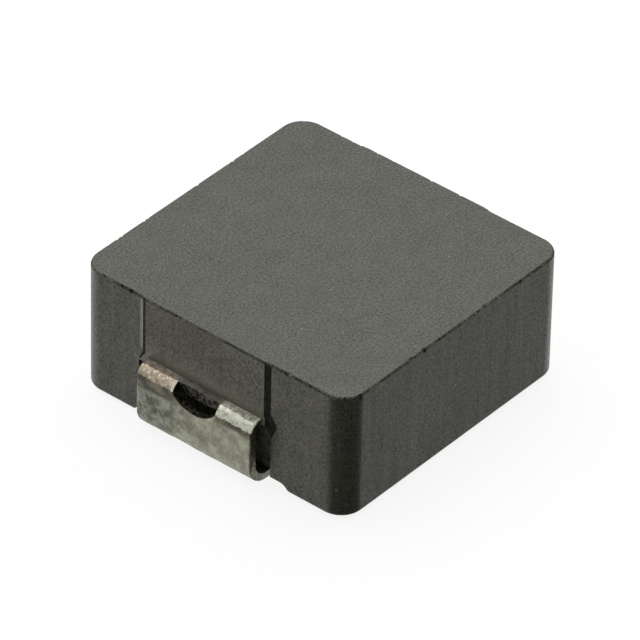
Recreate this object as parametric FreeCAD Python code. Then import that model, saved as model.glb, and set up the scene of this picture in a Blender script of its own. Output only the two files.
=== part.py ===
import FreeCAD, Part
import math
import os

# Moulded power inductor for surface mounting, in millimetres.
# X runs through the two terminals, Y across them, Z up. The origin is under the middle of the body,
# on the plane of the solder pads.

# Pressed body
body_length = 6.50
body_width = 6.65
body_height = 2.835
corner_radius = 0.50
stand_off = 0.07
top_edge_break = 0.04
bottom_edge_break = 0.08

# Shallow channel that crosses the underside and takes the two folded feet
channel_depth = 0.163
channel_side_gap = 0.17
channel_flank_width = 0.28

# Raised pad above each lead, left by the insert that closes on the lead frame.
# Its face is a gap wider than the lead on each side, and the foot of its sloping flanks is wider still.
pad_proud = 0.03
pad_side_gap = 0.09
pad_flank_width = 0.12

# Shoulder at the two lower corners of the pad, with heights measured from the top of the lead
shoulder_width = 0.145
shoulder_start = 0.19
shoulder_full = -0.01
shoulder_turn = -0.10
shoulder_end = -0.41
shoulder_drop = 0.10

# Pocket behind each leg, as wide as the foot of the pad
pocket_depth = 0.20

# Lead frame: one bent strip at each end
sheet = 0.17
lead_width = 2.86
lead_offset = 0.16
lead_drop = 0.036
leg_reach = 0.335
upper_bend_radius = 0.295
lower_bend_radius = 0.48
foot_length = 1.50

# Half-moon window in the upper bend
window_width = 1.07
window_top_reach = 0.155
window_side_drop = 0.21
window_total_drop = 0.47

# Weld tab inside the body
tab_length = 0.80
tab_cover = 0.10
tab_margin = 0.20
coil_clearance = 0.12

# Winding: flat enamelled wire on edge, two layers, both ends on the outside
wire_thickness = 0.20
wire_width = 0.65
turn_gap = 0.02
resin_film = 0.02
post_radius = 1.15
coil_wall = 0.55
joggle_length = 0.40
crossover_half_length = 0.50

# Worked out from the sizes above
half_length = body_length / 2
half_width = body_width / 2
body_top = stand_off + body_height
lead_middle = stand_off + body_height / 2 - lead_drop
lead_top = lead_middle + sheet / 2
lead_under = lead_middle - sheet / 2
pocket_floor = half_length - pocket_depth
channel_ceiling = stand_off + channel_depth
channel_flat = lead_width / 2 + lead_offset + channel_side_gap
pad_face = lead_width / 2 + pad_side_gap
pad_foot = pad_face + pad_flank_width
pitch = wire_thickness + turn_gap
coil_room = min(pocket_floor, half_width) - coil_wall
turns = int((coil_room - post_radius) / pitch)
coil_radius = post_radius + turns * pitch - turn_gap
layer_bottom = lead_middle + turn_gap / 2
layer_top = layer_bottom + wire_width
tab_outer = pocket_floor - tab_cover
tab_inner = tab_outer - tab_length
over = 1.0


def point(x, y, z):
    return FreeCAD.Vector(x, y, z)


def line(a, b):
    return Part.makeLine(a, b)


def arc(a, middle, b):
    return Part.Arc(a, middle, b).toShape()


def solid_from(edges, direction):
    return Part.Face(Part.Wire(edges)).extrude(direction)


def block(x0, x1, y0, y1, z0, z1):
    return Part.makeBox(x1 - x0, y1 - y0, z1 - z0, point(x0, y0, z0))


def mirrored(shape):
    return shape.mirror(point(0, 0, 0), point(1, 0, 0))


# Body

def rounded_block(z0, z1):
    """Plain block with the four round upright corners."""
    plain = block(-half_length, half_length, -half_width, half_width, z0, z1)
    upright = [e for e in plain.Edges if abs(e.BoundBox.ZLength - (z1 - z0)) < 1e-6]
    return plain.makeFillet(corner_radius, upright)


def level_edges(shape, z):
    """Edges that lie at one height."""
    return [e for e in shape.Edges if abs(e.BoundBox.ZMin - z) < 1e-6 and abs(e.BoundBox.ZMax - z) < 1e-6]


def solid_between(first, second):
    """Solid whose two ends are flat outlines with matching corners."""
    faces = [Part.makePolygon(first + first[:1]), Part.makePolygon(second + second[:1])]
    for here, (a, b) in enumerate(zip(first, second)):
        faces.append(Part.makePolygon([a, first[here - 1], second[here - 1], b, a]))
    solid = Part.Solid(Part.Shell([Part.Face(outline) for outline in faces]))
    if solid.Volume < 0:
        solid.reverse()
    return solid


def pad_outline(x, half, drop):
    """Corners of the -X pad at one depth. Half is half its width, and drop lowers its shoulders."""
    side = [
        (half, body_top),
        (half, lead_top + shoulder_start - drop),
        (half + shoulder_width, lead_top + shoulder_full - drop),
        (half + shoulder_width, lead_top + shoulder_turn - drop),
        (half, lead_top + shoulder_end - drop),
    ]
    return [point(x, lead_offset - y, z) for y, z in side] + [point(x, lead_offset + y, z) for y, z in reversed(side)]


def end_pad():
    """Raised pad on the -X end, from the lead up to the top, with sloping flanks and two shoulders."""
    root = pad_outline(-half_length + 2 * pad_proud, pad_foot, 0)
    foot = pad_outline(-half_length, pad_foot, 0)
    face = pad_outline(-half_length - pad_proud, pad_face, shoulder_drop)
    return solid_between(root, foot).fuse(solid_between(foot, face))


def pocket():
    """Space behind the -X leg, open below and towards the leg."""
    return block(-half_length - over, -pocket_floor, lead_offset - pad_foot, lead_offset + pad_foot,
                 -over, lead_under)


def channel():
    """Long shallow channel under the body, with S-shaped flanks."""
    edges = []
    foot = channel_flat + channel_flank_width
    turn = 2 * math.atan(channel_depth / channel_flank_width)
    radius = channel_flank_width / (2 * math.sin(turn))
    reach = radius * math.sin(turn / 2)
    rise = radius * (1 - math.cos(turn / 2))
    middle_z = stand_off + channel_depth / 2
    x = -half_length - over
    for way in (-1, 1):
        low = point(x, way * foot, stand_off)
        half_way = point(x, way * (channel_flat + foot) / 2, middle_z)
        high = point(x, way * channel_flat, channel_ceiling)
        edges.append(arc(low, point(x, way * (foot - reach), stand_off + rise), half_way))
        edges.append(arc(half_way, point(x, way * (channel_flat + reach), channel_ceiling - rise), high))
        edges.append(line(low, point(x, way * foot, -over)))
    edges.append(line(point(x, -channel_flat, channel_ceiling), point(x, channel_flat, channel_ceiling)))
    edges.append(line(point(x, -foot, -over), point(x, foot, -over)))
    return solid_from(Part.__sortEdges__(edges), point(body_length + 2 * over, 0, 0))


def pressed_block():
    """Body as pressed, still solid inside."""
    upper = rounded_block(lead_under, body_top)
    pad = end_pad()
    upper = upper.multiFuse([pad, mirrored(pad)]).removeSplitter()
    upper = upper.makeChamfer(top_edge_break, level_edges(upper, body_top))
    lower = rounded_block(stand_off, lead_under)
    lower = lower.makeFillet(bottom_edge_break, level_edges(lower, stand_off))
    space = pocket()
    body = upper.fuse(lower).removeSplitter()
    return body.cut([space, mirrored(space), channel()])


# Winding

def half_ring(centre_y, inner, outer, way, z0, z1):
    """Half of a flat ring on the side of X that way gives."""
    def at(radius, angle):
        return point(way * radius * math.sin(angle), centre_y + radius * math.cos(angle), z0)

    edges = [
        arc(at(outer, 0), at(outer, math.pi / 2), at(outer, math.pi)),
        line(at(outer, math.pi), at(inner, math.pi)),
        arc(at(inner, math.pi), at(inner, math.pi / 2), at(inner, 0)),
        line(at(inner, 0), at(outer, 0)),
    ]
    return solid_from(edges, point(0, 0, z1 - z0))


def tail():
    """Outer end of the upper layer, stepped up onto the weld tab of the -X lead."""
    step = lead_top - layer_bottom
    start = -tab_inner + tab_margin / 2
    end = -tab_outer + tab_margin / 2
    run = [(0, 0), (start + joggle_length, 0), (start, step), (end, step)]
    lower = [point(x, coil_radius - wire_thickness, layer_bottom + z) for x, z in run]
    upper = [p + point(0, 0, wire_width) for p in reversed(lower)]
    outline = Part.makePolygon(lower + upper + lower[:1])
    return Part.Face(outline).extrude(point(0, wire_thickness, 0))


def crossover():
    """Ramp at the inner turn that leads from the upper layer down to the lower one."""
    a = crossover_half_length
    y = -post_radius - pitch
    corners = [
        point(a, y, layer_bottom),
        point(a, y, layer_top),
        point(-a, y, 2 * lead_middle - layer_bottom),
        point(-a, y, 2 * lead_middle - layer_top),
    ]
    ramp = Part.Face(Part.makePolygon(corners + corners[:1])).extrude(point(0, -y, 0))
    ring = Part.makeCylinder(post_radius + wire_thickness, 4 * wire_width,
                             point(0, 0, lead_middle - 2 * wire_width))
    post = Part.makeCylinder(post_radius, 4 * wire_width, point(0, 0, lead_middle - 2 * wire_width))
    return ramp.common(ring.cut(post))


def upper_layer():
    """Spiral of half turns whose centres alternate, so that each turn runs on into the next."""
    a = crossover_half_length
    parts = []
    for turn in range(turns):
        inner = post_radius + turn * pitch
        ring = half_ring(0, inner, inner + wire_thickness, 1, layer_bottom, layer_top)
        if turn == 0:
            ring = ring.cut(block(-over, a, -coil_radius, 0, 0, body_top))
        parts.append(ring)
    for turn in range(turns - 1):
        inner = post_radius + pitch / 2 + turn * pitch
        parts.append(half_ring(-pitch / 2, inner, inner + wire_thickness, -1, layer_bottom, layer_top))
    parts.append(tail())
    return parts


def lowered(shape):
    """The same form for the lower layer: turned half round about Y through the lead frame's middle."""
    copy = shape.copy()
    copy.rotate(point(0, 0, lead_middle), point(0, 1, 0), 180)
    return copy


def winding():
    """Coil of flat wire, one continuous length."""
    upper = upper_layer()
    lower = [lowered(part) for part in upper]
    return crossover().multiFuse(upper + lower).removeSplitter()


def winding_space():
    """Round room for the coil, a resin film wider than the turns, and the two runs of the tails."""
    low = 2 * lead_middle - layer_top
    ring = Part.makeCylinder(coil_radius + resin_film, layer_top - low, point(0, 0, low))
    post = Part.makeCylinder(post_radius - resin_film, layer_top - low, point(0, 0, low))
    return [ring.cut(post), tail(), lowered(tail())]


# Terminals

def bent_strip():
    """Strip that leaves the -X end, folds down and then in under the body."""
    y = lead_offset - lead_width / 2
    outer_x = -half_length - leg_reach
    foot_end = outer_x + foot_length

    def at(x, z):
        return point(x, y, z)

    def corner(centre_x, centre_z, radius, first, last):
        ends = [math.radians(angle) for angle in (first, (first + last) / 2, last)]
        return arc(*[at(centre_x + radius * math.cos(t), centre_z + radius * math.sin(t)) for t in ends])

    upper_x = outer_x + upper_bend_radius
    upper_z = lead_top - upper_bend_radius
    lower_x = outer_x + lower_bend_radius
    lower_z = lower_bend_radius
    edges = [
        line(at(-tab_inner, lead_top), at(upper_x, lead_top)),
        corner(upper_x, upper_z, upper_bend_radius, 90, 180),
        line(at(outer_x, upper_z), at(outer_x, lower_z)),
        corner(lower_x, lower_z, lower_bend_radius, 180, 270),
        line(at(lower_x, 0), at(foot_end, 0)),
        line(at(foot_end, 0), at(foot_end, sheet)),
        line(at(foot_end, sheet), at(lower_x, sheet)),
        corner(lower_x, lower_z, lower_bend_radius - sheet, 270, 180),
        line(at(outer_x + sheet, lower_z), at(outer_x + sheet, upper_z)),
        corner(upper_x, upper_z, upper_bend_radius - sheet, 180, 90),
        line(at(upper_x, lead_under), at(-tab_inner, lead_under)),
        line(at(-tab_inner, lead_under), at(-tab_inner, lead_top)),
    ]
    return solid_from(edges, point(0, lead_width, 0))


def window():
    """Half-moon opening: straight along the top, round below."""
    half = window_width / 2
    x = -half_length - leg_reach - over
    side_z = lead_top - window_side_drop
    left = point(x, lead_offset - half, side_z)
    right = point(x, lead_offset + half, side_z)
    bottom = point(x, lead_offset, lead_top - window_total_drop)
    above = over
    edges = [
        arc(left, bottom, right),
        line(right, right + point(0, 0, above)),
        line(right + point(0, 0, above), left + point(0, 0, above)),
        line(left + point(0, 0, above), left),
    ]
    reach = leg_reach + over - window_top_reach
    return solid_from(edges, point(reach, 0, 0))


def terminal():
    """Terminal of the -X end, one piece of tinned copper sheet."""
    lead_edge = lead_offset + lead_width / 2
    tab_edge = coil_radius + tab_margin
    tab = block(-tab_outer, -tab_inner, lead_edge - tab_margin, tab_edge, lead_under, lead_top)
    strip = bent_strip().fuse(tab).removeSplitter()
    coil_space = Part.makeCylinder(coil_radius + coil_clearance, body_height - channel_depth,
                                   point(0, 0, channel_ceiling))
    return strip.cut([window(), coil_space])


def moulded_core(leads):
    """Pressed iron-powder body, closed tightly round the winding and the inner ends of the leads."""
    return pressed_block().cut(winding_space() + leads)


def save(shape, name):
    solids = shape.Solids
    if len(solids) != 1 or not solids[0].isValid():
        raise ValueError(name + " is not one valid solid")
    solids[0].exportStep(os.path.join("parts", name + ".step"))
    box = solids[0].BoundBox
    print(name, "volume %.4f mm3" % solids[0].Volume, "faces", len(solids[0].Faces),
          "x %.3f %.3f y %.3f %.3f z %.3f %.3f" % (box.XMin, box.XMax, box.YMin, box.YMax, box.ZMin, box.ZMax))


os.makedirs("parts", exist_ok=True)
left_terminal = terminal()
right_terminal = mirrored(left_terminal)
save(moulded_core([left_terminal, right_terminal]), "moulded_core")
save(winding(), "winding")
save(left_terminal, "terminal_left")
save(right_terminal, "terminal_right")
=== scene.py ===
import bpy
import math
import random
from mathutils import Matrix, Vector


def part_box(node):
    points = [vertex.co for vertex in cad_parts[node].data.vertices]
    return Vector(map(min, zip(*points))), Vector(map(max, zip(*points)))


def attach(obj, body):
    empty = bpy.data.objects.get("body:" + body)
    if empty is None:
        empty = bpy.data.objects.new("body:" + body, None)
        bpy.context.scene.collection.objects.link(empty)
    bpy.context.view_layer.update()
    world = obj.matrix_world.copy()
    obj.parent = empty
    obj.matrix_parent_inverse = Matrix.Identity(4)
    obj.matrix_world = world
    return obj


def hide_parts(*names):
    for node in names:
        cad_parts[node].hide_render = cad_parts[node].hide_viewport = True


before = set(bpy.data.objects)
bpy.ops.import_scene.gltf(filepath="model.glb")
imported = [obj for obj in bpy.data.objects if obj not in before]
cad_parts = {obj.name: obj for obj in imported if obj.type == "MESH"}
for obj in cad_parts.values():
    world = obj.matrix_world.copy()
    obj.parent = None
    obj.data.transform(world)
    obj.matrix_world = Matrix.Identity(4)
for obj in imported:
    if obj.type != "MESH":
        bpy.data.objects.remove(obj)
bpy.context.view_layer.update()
bpy.ops.object.select_all(action="DESELECT")
MM = 0.001


# Camera
# A long lens above the front corner looks at the left terminal and the two sides beside that corner.
# The part fills most of the square picture, with the front corner low and to the right of its middle.

camera_azimuth = math.radians(-50.59246565)
camera_elevation = math.radians(37.36748972)
camera_roll = math.radians(1.26956585)
focal_pixels = 7541.8474
picture_pixels = 640
camera_distance = 145.8512
aim_right = -0.0099
aim_up = 1.0305
aim_height = 0.07

backward = Vector((math.sin(camera_azimuth) * math.cos(camera_elevation),
                   -math.cos(camera_azimuth) * math.cos(camera_elevation),
                   math.sin(camera_elevation)))
level_right = Vector((math.cos(camera_azimuth), math.sin(camera_azimuth), 0))
level_up = backward.cross(level_right)
right = math.cos(camera_roll) * level_right + math.sin(camera_roll) * level_up
up = math.cos(camera_roll) * level_up - math.sin(camera_roll) * level_right
eye = backward * camera_distance + right * aim_right + up * aim_up + Vector((0, 0, aim_height))

camera_data = bpy.data.cameras.new("studio_camera")
camera_data.sensor_width = 36
camera_data.lens = focal_pixels * camera_data.sensor_width / picture_pixels
camera_data.clip_start = 0.001
camera_data.clip_end = 10
camera = bpy.data.objects.new("studio_camera", camera_data)
camera.matrix_world = Matrix.Translation(eye * MM) @ Matrix((right, up, backward)).transposed().to_4x4()
bpy.context.scene.collection.objects.link(camera)
bpy.context.scene.camera = camera
bpy.context.scene.view_settings.view_transform = "Standard"


# Studio light
# White walls stand to the left, to the right and behind. The camera's side of the room is dark, a little
# less so towards its ceiling. A wide soft lamp hangs above the part.

dark_side = Vector((-0.53, -0.848, 0))
wall_level = 1.0
dark_level = 0.03
dark_edges = (-0.08, 0.36)
ceiling_level = 0.11
ceiling_edges = (-0.45, 0.10)
fill_share = 0.55
lamp_width = 0.07
lamp_place = (0.008, 0.012, 0.055)
lamp_watts = 0.021


def add_node(tree, kind, values=None, **settings):
    """Adds a shader node, with its own settings and the plain values of its inputs."""
    made = tree.nodes.new(kind)
    for name, value in settings.items():
        setattr(made, name, value)
    for name, value in (values or {}).items():
        made.inputs[name].default_value = value
    return made


def math_node(tree, operation, first, second=0.0, third=0.0):
    """Adds a math node. Each input is a number or the output of another node."""
    made = add_node(tree, "ShaderNodeMath", operation=operation)
    for place, value in enumerate((first, second, third)):
        if isinstance(value, bpy.types.NodeSocket):
            tree.links.new(value, made.inputs[place])
        else:
            made.inputs[place].default_value = value
    return made.outputs[0]


def map_range(tree, value, low, high, to_low, to_high, smooth=False):
    """Adds a node that maps a value from one range to another and stops at its ends."""
    made = add_node(tree, "ShaderNodeMapRange",
                    {"From Min": low, "From Max": high, "To Min": to_low, "To Max": to_high})
    if smooth:
        made.interpolation_type = "SMOOTHSTEP"
    tree.links.new(value, made.inputs["Value"])
    return made.outputs["Result"]


world = bpy.data.worlds.new("studio")
world.use_nodes = True
bpy.context.scene.world = world
air = world.node_tree
air.nodes.clear()
direction = add_node(air, "ShaderNodeTexCoord").outputs["Generated"]
facing = add_node(air, "ShaderNodeVectorMath", operation="DOT_PRODUCT")
facing.inputs[1].default_value = dark_side
air.links.new(direction, facing.inputs[0])
walls = map_range(air, facing.outputs["Value"], *dark_edges, wall_level, dark_level, smooth=True)
upward = add_node(air, "ShaderNodeSeparateXYZ")
air.links.new(direction, upward.inputs[0])
ceiling = map_range(air, upward.outputs["Z"], *ceiling_edges, 0, ceiling_level, smooth=True)
walls = math_node(air, "MAXIMUM", walls, ceiling)
rays = add_node(air, "ShaderNodeLightPath")
mirrored_ray = math_node(air, "MAXIMUM", rays.outputs["Is Glossy Ray"], rays.outputs["Is Transmission Ray"])
share = map_range(air, mirrored_ray, 0, 1, fill_share, 1)
level = math_node(air, "MULTIPLY", walls, share)
level = math_node(air, "MAXIMUM", level, rays.outputs["Is Camera Ray"])
background = add_node(air, "ShaderNodeBackground", {"Color": (1, 1, 1, 1)})
air.links.new(level, background.inputs["Strength"])
world_out = add_node(air, "ShaderNodeOutputWorld")
air.links.new(background.outputs[0], world_out.inputs["Surface"])

lamp_data = bpy.data.lights.new("soft_lamp", "AREA")
lamp_data.size = lamp_width
lamp_data.energy = lamp_watts
lamp = bpy.data.objects.new("soft_lamp", lamp_data)
lamp.location = lamp_place
lamp.rotation_euler = Vector(lamp.location).to_track_quat("Z", "Y").to_euler()
bpy.context.scene.collection.objects.link(lamp)


# Floor
# Table top of plain pale board under the part. The camera sees it as white as the walls, apart from
# the part's shadow, and sees through it from below.

board_tone = 0.9
floor_shine = 0.88
floor_shadow = 0.17

bpy.ops.mesh.primitive_plane_add(size=2)
floor = bpy.context.object
floor.name = "table_top"
floor.visible_glossy = False
paint = bpy.data.materials.new("table_top")
paint.use_nodes = True
coat = paint.node_tree
coat.nodes.clear()
board = add_node(coat, "ShaderNodeBsdfDiffuse", {"Color": (board_tone, board_tone, board_tone, 1)})
pale = add_node(coat, "ShaderNodeBsdfDiffuse", {"Color": (floor_shadow, floor_shadow, floor_shadow, 1)})
shine = add_node(coat, "ShaderNodeEmission", {"Strength": floor_shine})
seen = add_node(coat, "ShaderNodeAddShader")
coat.links.new(pale.outputs[0], seen.inputs[0])
coat.links.new(shine.outputs[0], seen.inputs[1])
from_above = add_node(coat, "ShaderNodeMixShader")
coat.links.new(add_node(coat, "ShaderNodeLightPath").outputs["Is Camera Ray"], from_above.inputs[0])
coat.links.new(board.outputs[0], from_above.inputs[1])
coat.links.new(seen.outputs[0], from_above.inputs[2])
from_below = add_node(coat, "ShaderNodeMixShader")
coat.links.new(add_node(coat, "ShaderNodeNewGeometry").outputs["Backfacing"], from_below.inputs[0])
coat.links.new(from_above.outputs[0], from_below.inputs[1])
coat.links.new(add_node(coat, "ShaderNodeBsdfTransparent").outputs[0], from_below.inputs[2])
floor_out = add_node(coat, "ShaderNodeOutputMaterial")
coat.links.new(from_below.outputs[0], floor_out.inputs["Surface"])
floor.data.materials.append(paint)
bpy.ops.object.select_all(action="DESELECT")


# Pressed powder finishes
# The body is iron powder with a resin binder, pressed in a die. Punches leave its top and underside matt;
# the die walls burnish its sides, with fine upright drag marks. Broken powder is dark and rough.

cloud_scale = 0.11
cloud_share = 0.13
drag_stretch = 0.05
speck_scale = 0.33
speck_share = 0.015
speck_colour = (0.22, 0.23, 0.20)


def group_socket(group, name, way, kind="NodeSocketFloat", value=None):
    """Adds a named input or output to a node group."""
    made = group.interface.new_socket(name=name, in_out=way, socket_type=kind)
    if value is not None:
        made.default_value = value


grain_group = bpy.data.node_groups.new("powder_grain", "ShaderNodeTree")
group_socket(grain_group, "Place", "INPUT", "NodeSocketVector")
group_socket(grain_group, "Grain", "INPUT", value=18.0)
group_socket(grain_group, "Drag", "INPUT", value=0.0)
group_socket(grain_group, "Stain", "OUTPUT")
group_socket(grain_group, "Tone", "OUTPUT")
group_socket(grain_group, "Specks", "OUTPUT")
group_socket(grain_group, "Height", "OUTPUT")
inside = add_node(grain_group, "NodeGroupInput")
outside = add_node(grain_group, "NodeGroupOutput")
fine = add_node(grain_group, "ShaderNodeTexNoise", {"Detail": 3.0, "Roughness": 0.7})
grain_group.links.new(inside.outputs["Place"], fine.inputs["Vector"])
grain_group.links.new(inside.outputs["Grain"], fine.inputs["Scale"])
cloud = add_node(grain_group, "ShaderNodeTexNoise", {"Detail": 4.0, "Roughness": 0.55})
grain_group.links.new(inside.outputs["Place"], cloud.inputs["Vector"])
broader = math_node(grain_group, "MULTIPLY", inside.outputs["Grain"], cloud_scale)
grain_group.links.new(broader, cloud.inputs["Scale"])
upright = add_node(grain_group, "ShaderNodeMapping", {"Scale": (1, 1, drag_stretch)})
grain_group.links.new(inside.outputs["Place"], upright.inputs["Vector"])
drag = add_node(grain_group, "ShaderNodeTexNoise", {"Scale": 7.0, "Detail": 5.0, "Roughness": 0.65})
grain_group.links.new(upright.outputs["Vector"], drag.inputs["Vector"])
mottle = math_node(grain_group, "MULTIPLY_ADD", fine.outputs["Fac"], 1 - cloud_share,
                   math_node(grain_group, "MULTIPLY", cloud.outputs["Fac"], cloud_share))
mixed = add_node(grain_group, "ShaderNodeMix", data_type="FLOAT")
grain_group.links.new(inside.outputs["Drag"], mixed.inputs["Factor"])
grain_group.links.new(mottle, mixed.inputs["A"])
grain_group.links.new(drag.outputs["Fac"], mixed.inputs["B"])
tone = map_range(grain_group, mixed.outputs["Result"], 0.37, 0.63, 0, 1)
grain_group.links.new(tone, outside.inputs["Tone"])
broad = add_node(grain_group, "ShaderNodeTexNoise", {"Scale": 1.1, "Detail": 4.0, "Roughness": 0.6})
grain_group.links.new(inside.outputs["Place"], broad.inputs["Vector"])
stained_zone = map_range(grain_group, broad.outputs["Fac"], 0.42, 0.6, 0, 1)
grain_group.links.new(stained_zone, outside.inputs["Stain"])
grain_group.links.new(mixed.outputs["Result"], outside.inputs["Height"])
cells = add_node(grain_group, "ShaderNodeTexVoronoi")
grain_group.links.new(inside.outputs["Place"], cells.inputs["Vector"])
sparser = math_node(grain_group, "MULTIPLY", inside.outputs["Grain"], speck_scale)
grain_group.links.new(sparser, cells.inputs["Scale"])
chosen = add_node(grain_group, "ShaderNodeSeparateColor")
grain_group.links.new(cells.outputs["Color"], chosen.inputs["Color"])
rare = math_node(grain_group, "GREATER_THAN", chosen.outputs["Red"], 1 - speck_share)
close = map_range(grain_group, cells.outputs["Distance"], 0.06, 0.2, 1, 0)
grain_group.links.new(math_node(grain_group, "MULTIPLY", rare, close), outside.inputs["Specks"])


def colour_mix(tree, factor, first, second):
    """Mixes two colours. Each is a plain colour or the output of another node."""
    made = add_node(tree, "ShaderNodeMix", data_type="RGBA")
    tree.links.new(factor, made.inputs["Factor"])
    for place, value in (("A", first), ("B", second)):
        socket = [s for s in made.inputs if s.name == place and s.type == "RGBA"][0]
        if isinstance(value, bpy.types.NodeSocket):
            tree.links.new(value, socket)
        else:
            socket.default_value = (*value, 1)
    return [s for s in made.outputs if s.type == "RGBA"][0]


def new_material(name):
    """Starts a material: its node tree, its shader, and the place on the part in millimetres."""
    made = bpy.data.materials.new(name)
    made.use_nodes = True
    tree = made.node_tree
    shader = tree.nodes["Principled BSDF"]
    place = add_node(tree, "ShaderNodeVectorMath", operation="SCALE")
    place.inputs["Scale"].default_value = 1 / MM
    tree.links.new(add_node(tree, "ShaderNodeTexCoord").outputs["Object"], place.inputs[0])
    return made, tree, shader, place.outputs["Vector"]


def bump(tree, shader, height, depth):
    """Turns a height into a bump of the shader, with its depth in millimetres."""
    made = add_node(tree, "ShaderNodeBump", {"Distance": depth * MM})
    tree.links.new(height, made.inputs["Height"])
    tree.links.new(made.outputs["Normal"], shader.inputs["Normal"])


def powder_finish(name, dark, light, stain, roughness, gloss, grain, drag, depth):
    """Material of one powder surface: its darkest, lightest and stained colours, shine and grain."""
    made, tree, shader, place = new_material(name)
    effect = add_node(tree, "ShaderNodeGroup", node_tree=grain_group)
    effect.inputs["Grain"].default_value = grain
    effect.inputs["Drag"].default_value = drag
    tree.links.new(place, effect.inputs["Place"])
    ground = colour_mix(tree, effect.outputs["Tone"], dark, light)
    stained = colour_mix(tree, effect.outputs["Tone"], dark, stain)
    ground = colour_mix(tree, effect.outputs["Stain"], ground, stained)
    flecked = colour_mix(tree, effect.outputs["Specks"], ground, speck_colour)
    tree.links.new(flecked, shader.inputs["Base Color"])
    rough = map_range(tree, effect.outputs["Tone"], 0, 1, roughness[0], roughness[1])
    tree.links.new(rough, shader.inputs["Roughness"])
    shine = map_range(tree, effect.outputs["Tone"], 0, 1, gloss[0], gloss[1])
    tree.links.new(shine, shader.inputs["Specular IOR Level"])
    shader.inputs["Specular Tint"].default_value = (1.0, 1.0, 0.78, 1)
    bump(tree, shader, effect.outputs["Height"], depth)
    return made


matt_powder = powder_finish(
    "matt_powder", dark=(0.039, 0.041, 0.034), light=(0.141, 0.145, 0.133), stain=(0.130, 0.134, 0.122),
    roughness=(0.62, 0.50), gloss=(0.5, 0.5), grain=21.0, drag=0.0, depth=0.002)
burnished_powder = powder_finish(
    "burnished_powder", dark=(0.021, 0.021, 0.016), light=(0.083, 0.084, 0.065), stain=(0.074, 0.073, 0.056),
    roughness=(0.42, 0.28), gloss=(0.32, 0.72), grain=19.0, drag=0.22, depth=0.004)
brown_powder = powder_finish(
    "brown_powder", dark=(0.034, 0.033, 0.022), light=(0.124, 0.123, 0.096), stain=(0.074, 0.061, 0.041),
    roughness=(0.46, 0.30), gloss=(0.3, 0.75), grain=17.0, drag=0.12, depth=0.004)
# Painted highlight: pale powder on one flank of each pad, where light catches it
painted_highlight_flank_powder = powder_finish(
    "painted_highlight_flank_powder", dark=(0.11, 0.112, 0.095), light=(0.25, 0.255, 0.22), stain=(0.25, 0.25, 0.21),
    roughness=(0.40, 0.30), gloss=(0.6, 0.9), grain=15.0, drag=0.3, depth=0.005)
broken_powder = powder_finish(
    "broken_powder", dark=(0.020, 0.020, 0.016), light=(0.090, 0.087, 0.072), stain=(0.170, 0.168, 0.142),
    roughness=(0.9, 0.7), gloss=(0.3, 0.5), grain=20.0, drag=0.0, depth=0.02)
# Painted shade: very dark powder on the other flank of each pad, where shade falls
painted_shade_flank_powder = powder_finish(
    "painted_shade_flank_powder", dark=(0.004, 0.004, 0.003), light=(0.026, 0.025, 0.018), stain=(0.026, 0.025, 0.018),
    roughness=(0.9, 0.7), gloss=(0.1, 0.3), grain=16.0, drag=0.3, depth=0.02)
crumbly_powder = powder_finish(
    "crumbly_powder", dark=(0.035, 0.035, 0.028), light=(0.22, 0.21, 0.18), stain=(0.16, 0.15, 0.12),
    roughness=(0.9, 0.7), gloss=(0.3, 0.5), grain=7.0, drag=0.0, depth=0.03)
fresh_powder = powder_finish(
    "fresh_powder", dark=(0.14, 0.143, 0.125), light=(0.30, 0.30, 0.27), stain=(0.30, 0.30, 0.27),
    roughness=(0.7, 0.5), gloss=(0.5, 0.5), grain=20.0, drag=0.0, depth=0.01)


# Pressed body
# One block, pressed round the coil and the lead frame, with round upright corners. It has a raised pad
# above each lead, a pocket behind each leg and a shallow channel across its underside for the feet.

body_length = 6.50
body_width = 6.65
stand_off = 0.07
corner_radius = 0.50
pocket_half_width = 1.64
pocket_depth = 0.20
lead_offset = 0.16
pad_flank = 0.12
shoulder_width = 0.145
shoulder_drop = 0.10
seam_width = 0.07
seam_depth = 0.03
channel_ceiling = 0.233
channel_half_width = 1.76
channel_flank = 0.28
channel_round = 0.09
bottom_round = 0.08
top_break = 0.04
sheet = 0.17
# Pale colour of the painted light on each pad, next to its lead
painted_light_colour = (0.165, 0.162, 0.128)
chips_per_mm = 8.0
chips_per_corner = 8
chip_smallest = 0.018
chip_spread = 0.042
chip_stretch = 1.5
fresh_share = 0.12

_, core_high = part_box("moulded_core")
terminal_low, terminal_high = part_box("terminal_left")
body_top = core_high.z / MM
pad_x = core_high.x / MM
half_length = body_length / 2
half_width = body_width / 2
straight_x = half_length - corner_radius
straight_y = half_width - corner_radius
lead_top = terminal_high.z / MM
lead_under = lead_top - sheet
pocket_floor = half_length - pocket_depth
pocket_ceiling = lead_under + 0.03
pad_root = half_length - 0.1
pad_y = (lead_offset - pocket_half_width + pad_flank, lead_offset + pocket_half_width - pad_flank)
shoulder_start = lead_top + 0.19
shoulder_full = lead_top - 0.01
shoulder_turn = lead_top - 0.10
shoulder_end = lead_top - 0.41


def select_only(piece):
    """Selects one piece, makes it the active one and leaves edit mode."""
    if bpy.context.object and bpy.context.object.mode != "OBJECT":
        bpy.ops.object.mode_set(mode="OBJECT")
    bpy.ops.object.select_all(action="DESELECT")
    piece.select_set(True)
    bpy.context.view_layer.objects.active = piece


def pick(piece, kind, wanted):
    """Opens a piece in edit mode with the vertices, edges or faces selected that the test wants."""
    select_only(piece)
    bpy.ops.object.mode_set(mode="EDIT")
    bpy.ops.mesh.select_mode(type=kind)
    bpy.ops.mesh.select_all(action="DESELECT")
    bpy.ops.object.mode_set(mode="OBJECT")
    mesh = piece.data
    parts = {"VERT": mesh.vertices, "EDGE": mesh.edges, "FACE": mesh.polygons}[kind]
    for part in parts:
        part.select = wanted(part)
    bpy.ops.object.mode_set(mode="EDIT")


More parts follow.
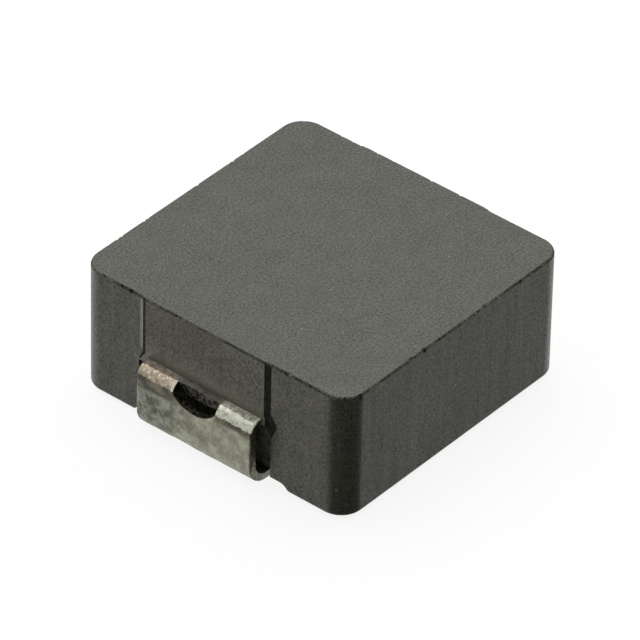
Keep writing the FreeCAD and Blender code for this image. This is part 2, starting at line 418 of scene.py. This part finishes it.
def flat_shape(name, corners):
    """One flat face with the given corners, in order."""
    bpy.ops.mesh.primitive_circle_add(vertices=len(corners), fill_type="NGON")
    piece = bpy.context.object
    piece.name = name
    for vertex, corner in zip(piece.data.vertices, corners):
        vertex.co = corner
    return piece


def round_corner(piece, corner, radius, segments):
    """Rounds one corner of a flat shape."""
    pick(piece, "VERT", lambda v: (v.co - Vector(corner)).length < 1e-4)
    bpy.ops.mesh.bevel(offset=radius, segments=segments, affect="VERTICES", clamp_overlap=False)
    bpy.ops.object.mode_set(mode="OBJECT")


def extrude(piece, way, steps=1):
    """Pulls a flat shape out into a solid, in equal steps, with its faces turned outwards."""
    pick(piece, "FACE", lambda f: True)
    step = Vector(way) / steps
    for _ in range(steps):
        bpy.ops.mesh.extrude_region_move(TRANSFORM_OT_translate={"value": step})
    bpy.ops.mesh.select_all(action="SELECT")
    bpy.ops.mesh.normals_make_consistent(inside=False)
    bpy.ops.object.mode_set(mode="OBJECT")


def box_between(name, low, high):
    """A plain block between two corners, used as a cutter."""
    low, high = Vector(low), Vector(high)
    bpy.ops.mesh.primitive_cube_add(size=1, location=(low + high) / 2)
    piece = bpy.context.object
    piece.name = name
    piece.scale = high - low
    bpy.ops.object.transform_apply(location=True, rotation=True, scale=True)
    return piece


def cut(piece, cutter, operation="DIFFERENCE"):
    """Cuts one piece with another, which is used up. The cut faces take the cutter's material."""
    select_only(piece)
    modifier = piece.modifiers.new("cut", "BOOLEAN")
    modifier.operation = operation
    modifier.solver = "EXACT"
    modifier.object = cutter
    modifier.material_mode = "TRANSFER"
    bpy.ops.object.modifier_apply(modifier=modifier.name)
    bpy.data.objects.remove(cutter)


# Painted light: the brown face of a pad is painted paler towards the lead
tree = brown_powder.node_tree
powder = tree.nodes["Principled BSDF"]
plain_brown = powder.inputs["Base Color"].links[0].from_socket
height = add_node(tree, "ShaderNodeSeparateXYZ")
tree.links.new(tree.nodes["Vector Math"].outputs["Vector"], height.inputs[0])
painted_light_near_lead = map_range(tree, height.outputs["Z"], lead_top + 0.5, lead_top + 0.02, 0, 0.85)
tree.links.new(colour_mix(tree, painted_light_near_lead, plain_brown, painted_light_colour), powder.inputs["Base Color"])

# Block with round upright corners and a round lower rim
core = flat_shape("core_body", [(-half_length, -half_width, stand_off), (half_length, -half_width, stand_off),
                                (half_length, half_width, stand_off), (-half_length, half_width, stand_off)])
for x in (-half_length, half_length):
    for y in (-half_width, half_width):
        round_corner(core, (x, y, stand_off), corner_radius, 18)
extrude(core, (0, 0, body_top - stand_off))
core_finishes = (burnished_powder, matt_powder, brown_powder, broken_powder, painted_shade_flank_powder, painted_highlight_flank_powder)
for material in core_finishes:
    core.data.materials.append(material)
pick(core, "EDGE", lambda e: all(abs(core.data.vertices[i].co.z - stand_off) < 1e-5 for i in e.vertices))
bpy.ops.mesh.bevel(offset=bottom_round, segments=9, affect="EDGES")
bpy.ops.object.mode_set(mode="OBJECT")

# Raised pads with sloping flanks, wider where they close on the lead
for way in (-1, 1):
    half_shape = [(pocket_half_width, body_top), (pocket_half_width, shoulder_start),
                  (pocket_half_width + shoulder_width, shoulder_full),
                  (pocket_half_width + shoulder_width, shoulder_turn), (pocket_half_width, shoulder_end)]
    shape = [(lead_offset + y, z) for y, z in half_shape]
    shape += [(lead_offset - y, z) for y, z in reversed(half_shape)]
    pad = flat_shape("pad", [(way * pad_root, y, z) for y, z in shape])
    extrude(pad, (way * (pad_x - pad_root), 0, 0), steps=2)
    for vertex in pad.data.vertices:
        if pad_root + 0.001 < abs(vertex.co.x) < pad_x - 0.001:
            vertex.co.x = way * half_length
        elif abs(vertex.co.x) > half_length:
            vertex.co.y += pad_flank if vertex.co.y < lead_offset else -pad_flank
            vertex.co.z -= 0 if vertex.co.z > body_top - 0.01 else shoulder_drop
    cut(core, pad, "UNION")
pick(core, "FACE", lambda f: True)
bpy.ops.mesh.dissolve_limited(angle_limit=math.radians(0.5))
pick(core, "EDGE", lambda e: all(abs(core.data.vertices[i].co.z - body_top) < 1e-5 for i in e.vertices))
bpy.ops.mesh.bevel(offset=top_break, segments=2, affect="EDGES")
bpy.ops.object.mode_set(mode="OBJECT")
pick(core, "FACE", lambda f: abs(f.center.x) > pad_x - 0.001)
bpy.ops.mesh.bisect(plane_co=(0, pad_y[0], 0), plane_no=(0, 1, 0))
bpy.ops.object.mode_set(mode="OBJECT")

# Matt top, broken rim, brown pads, painted shade along one flank of each pad and a painted highlight along
# the other
for face in core.data.polygons:
    on_pad = abs(face.center.x) > half_length + 0.001
    if abs(face.normal.z) > 0.95:
        finish = matt_powder
    elif abs(face.normal.z) > 0.2 and face.center.z > body_top - 2 * top_break:
        finish = broken_powder
    elif abs(face.center.x) > pad_x - 0.001 and face.center.y > pad_y[0]:
        finish = brown_powder
    elif on_pad and face.center.y < lead_offset:
        finish = painted_shade_flank_powder
    elif on_pad and face.center.z > lead_top + 0.25:
        finish = painted_highlight_flank_powder
    else:
        finish = burnished_powder
    face.material_index = core_finishes.index(finish)

# Channel across the underside, with S-shaped flanks
channel_corners = []
for way in (-1, 1):
    side = [(way * (channel_half_width + 2 * channel_flank), -0.5),
            (way * (channel_half_width + 2 * channel_flank), stand_off - 0.002),
            (way * (channel_half_width + 0.8 * channel_flank), stand_off - 0.002),
            (way * (channel_half_width + 0.2 * channel_flank), channel_ceiling)]
    channel_corners += side if way > 0 else side[::-1]
channel = flat_shape("channel", [(-half_length - 0.5, y, z) for y, z in channel_corners])
for way in (-1, 1):
    for y, z in ((channel_half_width + 0.8 * channel_flank, stand_off - 0.002),
                 (channel_half_width + 0.2 * channel_flank, channel_ceiling)):
        round_corner(channel, (-half_length - 0.5, way * y, z), channel_round, 8)
extrude(channel, (body_length + 1, 0, 0))
channel.data.materials.append(matt_powder)
cut(core, channel)

# Pockets behind the legs
for way in (-1, 1):
    near_x, far_x = sorted((way * pocket_floor, way * (pad_x + 0.5)))
    pocket = box_between("pocket", (near_x, lead_offset - pocket_half_width, -0.5),
                         (far_x, lead_offset + pocket_half_width, pocket_ceiling))
    pocket.data.materials.append(crumbly_powder)
    cut(core, pocket)

# Fine seam down each side of a pad, where the insert of the die meets its wall
seam_turn = shoulder_start - shoulder_drop
seam_end = shoulder_full - shoulder_drop
for way in (-1, 1):
    for side in (-1, 1):
        wide = seam_width if side > 0 else 0.6 * seam_width
        inner_y = pocket_half_width - pad_flank - 0.7 * wide
        outer_y = inner_y + wide
        corners = [(inner_y, body_top + 0.5), (outer_y, body_top + 0.5), (outer_y, seam_turn),
                   (inner_y + shoulder_width + 0.35 * wide, seam_end), (inner_y + shoulder_width, seam_end),
                   (inner_y, seam_turn)]
        seam_x = way * (pad_x - seam_depth)
        seam = flat_shape("seam", [(seam_x, lead_offset + side * y, z) for y, z in corners])
        extrude(seam, (way * 0.3, 0, 0))
        seam.data.materials.append(broken_powder)
        cut(core, seam)

# Chips that the rim of the top lost as the block left the die
random.seed(52)
rim = []
for side, reach, length in (("x", half_length, straight_y), ("y", half_width, straight_x)):
    for way in (-1, 1):
        for _ in range(int(2 * length * chips_per_mm)):
            along = random.uniform(-length, length)
            on_pad = side == "x" and pad_y[0] < along < pad_y[1]
            across = way * (pad_x if on_pad else reach)
            rim.append((across, along) if side == "x" else (along, across))
for x_way in (-1, 1):
    for y_way in (-1, 1):
        for _ in range(chips_per_corner):
            angle = random.uniform(0, math.pi / 2)
            rim.append((x_way * (straight_x + corner_radius * math.cos(angle)),
                        y_way * (straight_y + corner_radius * math.sin(angle))))
chips = []
for x, y in rim:
    size = chip_smallest + chip_spread * random.random() ** 5
    bpy.ops.mesh.primitive_ico_sphere_add(
        subdivisions=1, radius=size, rotation=[random.uniform(0, 6) for _ in range(3)],
        location=(x, y, body_top - random.uniform(-0.3, 0.6) * size))
    chip = bpy.context.object
    long_way = 1 + chip_stretch * random.random()
    along_y = abs(abs(x) - half_length) < 0.05
    chip.scale = (1, long_way, 1) if along_y else (long_way, 1, 1)
    chip.data.materials.append(fresh_powder if random.random() < fresh_share else broken_powder)
    chips.append(chip)
bpy.ops.object.select_all(action="DESELECT")
for chip in chips:
    chip.select_set(True)
bpy.context.view_layer.objects.active = chips[0]
bpy.ops.object.join()
bpy.ops.object.transform_apply(location=True, rotation=True, scale=True)
select_only(core)
chipping = core.modifiers.new("chips", "BOOLEAN")
chipping.operation = "DIFFERENCE"
chipping.solver = "EXACT"
chipping.use_self = True
chipping.object = chips[0]
chipping.material_mode = "TRANSFER"
bpy.ops.object.modifier_apply(modifier=chipping.name)
bpy.data.objects.remove(chips[0])


# Terminals
# Each is one strip of tinned copper sheet that leaves the body, folds down its end and in under it.
# The half-moon window in the upper bend makes the bend weaker, so that it folds in a true line.

lead_width = 2.86
leg_x = terminal_low.x / MM
upper_radius = 0.295
lower_radius = 0.48
foot_length = 1.50
inner_x = -2.15
window_half_width = 0.535
window_top_x = -3.405
window_side_z = lead_top - 0.21
window_bottom_z = lead_top - 0.47
window_sag = window_side_z - window_bottom_z
window_radius = (window_half_width ** 2 + window_sag ** 2) / (2 * window_sag)
edge_round = 0.022
dent_size = 0.45
dent_depth = 0.03
coil_clear_radius = 2.57
tab_reach = 2.65
lip_reach = 0.05


def near(tree, value, place, reach):
    """Mask that is 1 where a value lies at a place and falls to 0 at the reach on both sides."""
    apart = math_node(tree, "ABSOLUTE", math_node(tree, "SUBTRACT", value, place))
    return map_range(tree, apart, reach, 0.6 * reach, 0, 1)


def mirror_copy(piece, name):
    """A copy of a piece on the other end, turned to face outwards again."""
    select_only(piece)
    bpy.ops.object.duplicate()
    copy = bpy.context.object
    copy.name = name
    copy.scale = (-1, 1, 1)
    bpy.ops.object.transform_apply(location=True, rotation=True, scale=True)
    bpy.ops.object.mode_set(mode="EDIT")
    bpy.ops.mesh.select_all(action="SELECT")
    bpy.ops.mesh.normals_make_consistent(inside=False)
    bpy.ops.object.mode_set(mode="OBJECT")
    return copy


def finish_piece(piece, smooth_degrees):
    """Brings a piece modelled in millimetres to its real size and smooths its round faces."""
    select_only(piece)
    piece.scale = (MM, MM, MM)
    bpy.ops.object.transform_apply(location=True, rotation=True, scale=True)
    bpy.ops.object.shade_smooth_by_angle(angle=math.radians(smooth_degrees))
    modifier = piece.modifiers.new("even_light", "WEIGHTED_NORMAL")
    modifier.keep_sharp = True
    bpy.ops.object.modifier_apply(modifier=modifier.name)


# Tin on the flat sides: grey-green leg, dark and stained at its left, with a brown band below the bend
tin, tree, shader, place = new_material("dull_tin")
split = add_node(tree, "ShaderNodeSeparateXYZ")
tree.links.new(place, split.inputs[0])
stain = add_node(tree, "ShaderNodeTexNoise", {"Scale": 4.0, "Detail": 8.0, "Roughness": 0.74})
tree.links.new(place, stain.inputs["Vector"])
grit = add_node(tree, "ShaderNodeTexNoise", {"Scale": 15.0, "Detail": 3.0, "Roughness": 0.7})
tree.links.new(place, grit.inputs["Vector"])
wander = math_node(tree, "MULTIPLY_ADD", stain.outputs["Fac"], 0.14, -0.07)
height = math_node(tree, "ADD", split.outputs["Z"], wander)
left_side = map_range(tree, split.outputs["Y"], 0.1, 0.9, 0, 1)
blotch = map_range(tree, stain.outputs["Fac"], 0.42, 0.57, 0, 1)
right_mottle = colour_mix(tree, blotch, (0.43, 0.44, 0.34), (0.28, 0.265, 0.20))
left_mottle = colour_mix(tree, blotch, (0.35, 0.36, 0.29), (0.135, 0.13, 0.10))
leg_colour = colour_mix(tree, left_side, right_mottle, left_mottle)
foot_mottle = colour_mix(tree, blotch, (0.29, 0.29, 0.23), (0.18, 0.175, 0.14))
foot_colour = colour_mix(tree, map_range(tree, height, 0.12, 0.32, 1, 0), leg_colour, foot_mottle)
worn = math_node(tree, "MULTIPLY_ADD", left_side, 0.15, height)
band_blotch = map_range(tree, stain.outputs["Fac"], 0.47, 0.57, 0, 1)
band_mottle = colour_mix(tree, band_blotch, (0.10, 0.098, 0.08), (0.23, 0.195, 0.14))
band_colour = colour_mix(tree, map_range(tree, worn, 1.17, 1.25, 0, 1), foot_colour, band_mottle)

# Bright, gritty tin round the bend, warmer at its left: real tin with a painted reflection of the lamp and
# painted glints
painted_reflection = colour_mix(tree, left_side, (0.66, 0.68, 0.56), (0.48, 0.39, 0.28))
bend_colour = colour_mix(tree, map_range(tree, height, 1.325, 1.355, 0, 1), band_colour, painted_reflection)
strip = map_range(tree, split.outputs["Z"], 1.495, 1.512, 0, 1)
in_bend = math_node(tree, "MULTIPLY", map_range(tree, height, 1.32, 1.35, 0, 1),
                    math_node(tree, "SUBTRACT", 1.0, strip))
# Painted glints: near-white specks across the bend
painted_glints = math_node(tree, "MULTIPLY", map_range(tree, grit.outputs["Fac"], 0.52, 0.64, 0, 0.75), in_bend)
dull_spots = math_node(tree, "MULTIPLY", map_range(tree, grit.outputs["Fac"], 0.47, 0.35, 0, 0.65), in_bend)
bend_with_painted_glints = colour_mix(tree, painted_glints, bend_colour, (0.82, 0.81, 0.69))
bend_with_painted_glints = colour_mix(tree, dull_spots, bend_with_painted_glints, (0.30, 0.26, 0.20))

# Flat strip above the bend: worn bright at the window's right, brown at its left and dull above it
right_part = map_range(tree, split.outputs["Y"], lead_offset - window_half_width + 0.02,
                       lead_offset - window_half_width - 0.08, 0, 1)
left_part = map_range(tree, split.outputs["Y"], lead_offset + window_half_width - 0.10,
                      lead_offset + window_half_width + 0.05, 0, 1)
speckle = map_range(tree, grit.outputs["Fac"], 0.42, 0.58, 0, 1)
worn_strip = colour_mix(tree, speckle, (0.32, 0.30, 0.24), (0.74, 0.74, 0.62))
dull_strip = colour_mix(tree, blotch, (0.19, 0.185, 0.15), (0.10, 0.093, 0.075))
brown_strip = colour_mix(tree, speckle, (0.20, 0.165, 0.125), (0.46, 0.40, 0.31))
strip_colour = colour_mix(tree, right_part, dull_strip, worn_strip)
strip_colour = colour_mix(tree, left_part, strip_colour, brown_strip)
tin_colour = colour_mix(tree, strip, bend_with_painted_glints, strip_colour)

# Painted highlights: almost white lips at the window's left edge, at the strip's right edge and low in the
# window
left_lip = near(tree, split.outputs["Y"], lead_offset + window_half_width + 0.02, lip_reach)
right_lip = near(tree, split.outputs["Y"], lead_offset - lead_width / 2 + 0.02, lip_reach)
upper_lip = math_node(tree, "MULTIPLY", math_node(tree, "MAXIMUM", left_lip, right_lip), in_bend)
strip_lip = math_node(tree, "MULTIPLY", right_lip, math_node(tree, "MULTIPLY", strip, 0.55))
upper_lip = math_node(tree, "MAXIMUM", upper_lip, strip_lip)
apart = add_node(tree, "ShaderNodeCombineXYZ")
for axis, middle in (("Y", lead_offset), ("Z", window_bottom_z + window_radius)):
    tree.links.new(math_node(tree, "SUBTRACT", split.outputs[axis], middle), apart.inputs[axis])
from_middle = add_node(tree, "ShaderNodeVectorMath", operation="LENGTH")
tree.links.new(apart.outputs["Vector"], from_middle.inputs[0])
low_lip = near(tree, from_middle.outputs["Value"], window_radius + 0.02, lip_reach)
low_lip = math_node(tree, "MULTIPLY", low_lip, near(tree, split.outputs["Y"], lead_offset - 0.46, 0.12))
low_lip = math_node(tree, "MULTIPLY", low_lip, map_range(tree, split.outputs["Z"], 1.34, 1.30, 0, 1))
painted_highlight_lips = math_node(tree, "MAXIMUM", upper_lip, math_node(tree, "MULTIPLY", low_lip, 0.25))
tree.links.new(colour_mix(tree, painted_highlight_lips, tin_colour, (0.98, 0.96, 0.82)), shader.inputs["Base Color"])
matt_share = math_node(tree, "MAXIMUM", math_node(tree, "MULTIPLY", strip, 0.75),
                       math_node(tree, "MULTIPLY", painted_highlight_lips, 0.75))
tree.links.new(math_node(tree, "SUBTRACT", 0.85, matt_share), shader.inputs["Metallic"])
rough = map_range(tree, grit.outputs["Fac"], 0.3, 0.7, 0.54, 0.40)
tree.links.new(math_node(tree, "MULTIPLY_ADD", strip, 0.2, rough), shader.inputs["Roughness"])
relief = math_node(tree, "MULTIPLY_ADD", in_bend, 0.4, 0.6)
bump(tree, shader, math_node(tree, "MULTIPLY", grit.outputs["Fac"], relief), 0.010)

# Sheared copper on the cut edges, with a painted highlight at the lower bend and dark inside the window
sheared, tree, shader, place = new_material("sheared_copper_edge")
shader.inputs["Metallic"].default_value = 1.0
streaks = add_node(tree, "ShaderNodeTexNoise", {"Scale": 14.0, "Detail": 4.0})
tree.links.new(place, streaks.inputs["Vector"])
level = add_node(tree, "ShaderNodeSeparateXYZ")
tree.links.new(place, level.inputs[0])
copper = colour_mix(tree, map_range(tree, streaks.outputs["Fac"], 0.35, 0.65, 0, 1),
                    (0.20, 0.18, 0.13), (0.48, 0.43, 0.32))
# Painted highlight: paler copper where the edges round the lower bend
copper = colour_mix(tree, map_range(tree, level.outputs["Z"], 0.15, 0.45, 1, 0), copper, (0.40, 0.395, 0.34))
window_wall = colour_mix(tree, map_range(tree, streaks.outputs["Fac"], 0.42, 0.6, 0, 1),
                         (0.02, 0.019, 0.015), (0.12, 0.115, 0.095))
in_opening = math_node(tree, "MULTIPLY", near(tree, level.outputs["Y"], lead_offset, 0.8),
                       map_range(tree, level.outputs["Z"], 0.9, 1.0, 0, 1))
tree.links.new(colour_mix(tree, in_opening, copper, window_wall), shader.inputs["Base Color"])
tree.links.new(map_range(tree, streaks.outputs["Fac"], 0.3, 0.7, 0.6, 0.4), shader.inputs["Roughness"])
bump(tree, shader, streaks.outputs["Fac"], 0.03)

# Strip in its side outline, pulled out to its width in fine steps, with round rims and, outside the
# body, small dents
side_y = lead_offset - lead_width / 2
path = {
    "outer_top": (leg_x, side_y, lead_top),
    "outer_foot": (leg_x, side_y, 0),
    "foot_end": (leg_x + foot_length, side_y, 0),
    "foot_end_top": (leg_x + foot_length, side_y, sheet),
    "inner_foot": (leg_x + sheet, side_y, sheet),
    "inner_top": (leg_x + sheet, side_y, lead_under),
    "lead_end_under": (inner_x + 0.1, side_y, lead_under),
    "lead_end": (inner_x + 0.1, side_y, lead_top),
}
terminal = flat_shape("terminal_strip_left", list(path.values()))
for corner, radius in (("outer_top", upper_radius), ("inner_top", upper_radius - sheet),
                       ("outer_foot", lower_radius), ("inner_foot", lower_radius - sheet)):
    round_corner(terminal, path[corner], radius, 16)
pick(terminal, "EDGE", lambda e: (terminal.data.vertices[e.vertices[0]].co
                                  - terminal.data.vertices[e.vertices[1]].co).length > 0.5)
bpy.ops.mesh.subdivide(number_cuts=9)
extrude(terminal, (0, lead_width, 0), steps=44)
rim_y = (side_y, side_y + lead_width)
pick(terminal, "EDGE", lambda e: any(all(abs(terminal.data.vertices[i].co.y - y) < 1e-5 for i in e.vertices)
                                     for y in rim_y))
bpy.ops.mesh.bevel(offset=edge_round, segments=3, affect="EDGES")
bpy.ops.object.mode_set(mode="OBJECT")
outside_body = terminal.vertex_groups.new(name="outside_body")
outside_body.add([v.index for v in terminal.data.vertices if v.co.x < -pad_x - 0.02], 1.0, "REPLACE")
dents = bpy.data.textures.new("sheet_dents", "CLOUDS")
dents.noise_scale = dent_size
select_only(terminal)
denting = terminal.modifiers.new("dents", "DISPLACE")
denting.texture = dents
denting.vertex_group = outside_body.name
denting.strength = dent_depth
denting.mid_level = 0.5
bpy.ops.object.modifier_apply(modifier=denting.name)

# Weld tab inside the body, and the round end where the strip stops short of the coil
tab = box_between("weld_tab", (-2.95, lead_offset + lead_width / 2 - 0.2, lead_under + 0.003),
                  (inner_x + 0.5, tab_reach, lead_top - 0.003))
cut(terminal, tab, "UNION")
bpy.ops.mesh.primitive_cylinder_add(vertices=96, radius=coil_clear_radius, depth=2.2,
                                    location=(0, 0, lead_under))
cut(terminal, bpy.context.object)
beyond = box_between("beyond", (inner_x, -4, lead_under - 0.1), (0, 4, lead_top + 0.1))
cut(terminal, beyond)

# Half-moon window
window_middle = (window_top_x - 0.5, lead_offset, window_bottom_z + window_radius)
bpy.ops.mesh.primitive_cylinder_add(vertices=128, radius=window_radius, depth=1.0,
                                    rotation=(0, math.pi / 2, 0), location=window_middle)
window = bpy.context.object
bpy.ops.object.transform_apply(location=True, rotation=True, scale=True)
for way in (-1, 1):
    pick(window, "FACE", lambda f: True)
    bpy.ops.mesh.bisect(plane_co=(0, lead_offset + way * window_half_width, 0), plane_no=(0, way, 0),
                        use_fill=True, clear_outer=True)
cut(terminal, window)

# Slivers that the cut leaves on the window's rim are merged away
pick(terminal, "FACE", lambda f: True)
bpy.ops.mesh.remove_doubles(threshold=0.001)
bpy.ops.mesh.quads_convert_to_tris(quad_method="BEAUTY", ngon_method="BEAUTY")
bpy.ops.mesh.dissolve_degenerate(threshold=0.001)
bpy.ops.object.mode_set(mode="OBJECT")

# Copper on the cut edges and the window's walls, tin on the rest
terminal.data.materials.clear()
for material in (tin, sheared):
    terminal.data.materials.append(material)
for face in terminal.data.polygons:
    on_side = abs(face.normal.y) > 0.9 and abs(face.center.y - lead_offset) > lead_width / 2 - 0.05
    to_middle = Vector((face.center.y - lead_offset, face.center.z - window_bottom_z - window_radius))
    in_window = abs(to_middle.x) < window_half_width + 0.012 and to_middle.length < window_radius + 0.012
    top_wall = face.normal.x < -0.9 and face.center.x > window_top_x - 0.03
    cut_wall = in_window and face.center.x < window_top_x + 0.01 and (abs(face.normal.x) < 0.35 or top_wall)
    on_top = face.normal.z > 0.9 and face.center.z > lead_top - 0.03
    face.material_index = 1 if on_side or (cut_wall and not on_top) else 0

right_terminal = mirror_copy(terminal, "terminal_strip_right")
for piece, node_name in ((terminal, "terminal_left"), (right_terminal, "terminal_right")):
    finish_piece(piece, 40)
    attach(piece, "root")
    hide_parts(node_name)


# Coil
# Two layers of flat enamelled copper wire wound on edge, out of sight inside the pressed body.
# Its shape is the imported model's own, and it takes the finish of clear enamel over copper.

enamel, tree, shader, place = new_material("enamelled_copper")
shader.inputs["Metallic"].default_value = 1.0
shader.inputs["Coat Weight"].default_value = 0.6
shader.inputs["Coat Roughness"].default_value = 0.12
drawn = add_node(tree, "ShaderNodeTexNoise", {"Scale": 9.0, "Detail": 4.0})
tree.links.new(place, drawn.inputs["Vector"])
tree.links.new(colour_mix(tree, drawn.outputs["Fac"], (0.38, 0.12, 0.04), (0.52, 0.20, 0.08)),
               shader.inputs["Base Color"])
tree.links.new(map_range(tree, drawn.outputs["Fac"], 0.3, 0.7, 0.34, 0.24), shader.inputs["Roughness"])
bump(tree, shader, drawn.outputs["Fac"], 0.004)
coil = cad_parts["winding"]
coil.data.materials.clear()
coil.data.materials.append(enamel)


# Room inside the body
# The powder closes on the coil and on the inner ends of the two leads, so the body takes their shape.
# The ring of the coil has room for a film of resin, its tails have a hair of play, and the leads fill
# their slots.

coil_outer = 2.47
coil_inner = 1.13
layer_bottom = lead_under + sheet / 2 + 0.01
layer_height = 0.65
tail_y = (2.248, 2.452)
tail_run = ((0.0, -0.002), (-1.65, -0.002), (-2.05, 0.068), (-2.852, 0.068))

bpy.ops.mesh.primitive_cylinder_add(vertices=96, radius=coil_outer, depth=2 * layer_height + 0.02,
                                    location=(0, 0, lead_under + sheet / 2))
room = bpy.context.object
bpy.ops.mesh.primitive_cylinder_add(vertices=64, radius=coil_inner, depth=3, location=(0, 0, lead_under))
cut(room, bpy.context.object)
for way in (1, -1):
    corners = [(x, z) for x, z in tail_run] + [(x, z + layer_height + 0.004) for x, z in reversed(tail_run)]
    middle = lead_under + sheet / 2
    corners = [(way * x, middle + way * (layer_bottom + z - middle)) for x, z in corners]
    tail = flat_shape("tail", [(x, tail_y[0], z) for x, z in corners])
    extrude(tail, (0, tail_y[1] - tail_y[0], 0))
    cut(room, tail, "UNION")
room.data.materials.append(matt_powder)
cut(core, room)
for piece in (terminal, right_terminal):
    select_only(piece)
    bpy.ops.object.duplicate()
    slot_shape = bpy.context.object
    slot_shape.scale = (1 / MM, 1 / MM, 1 / MM)
    bpy.ops.object.transform_apply(location=True, rotation=True, scale=True)
    slot_shape.data.materials.clear()
    slot_shape.data.materials.append(matt_powder)
    cut(core, slot_shape)
finish_piece(core, 12.5)
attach(core, "root")
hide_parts("moulded_core")
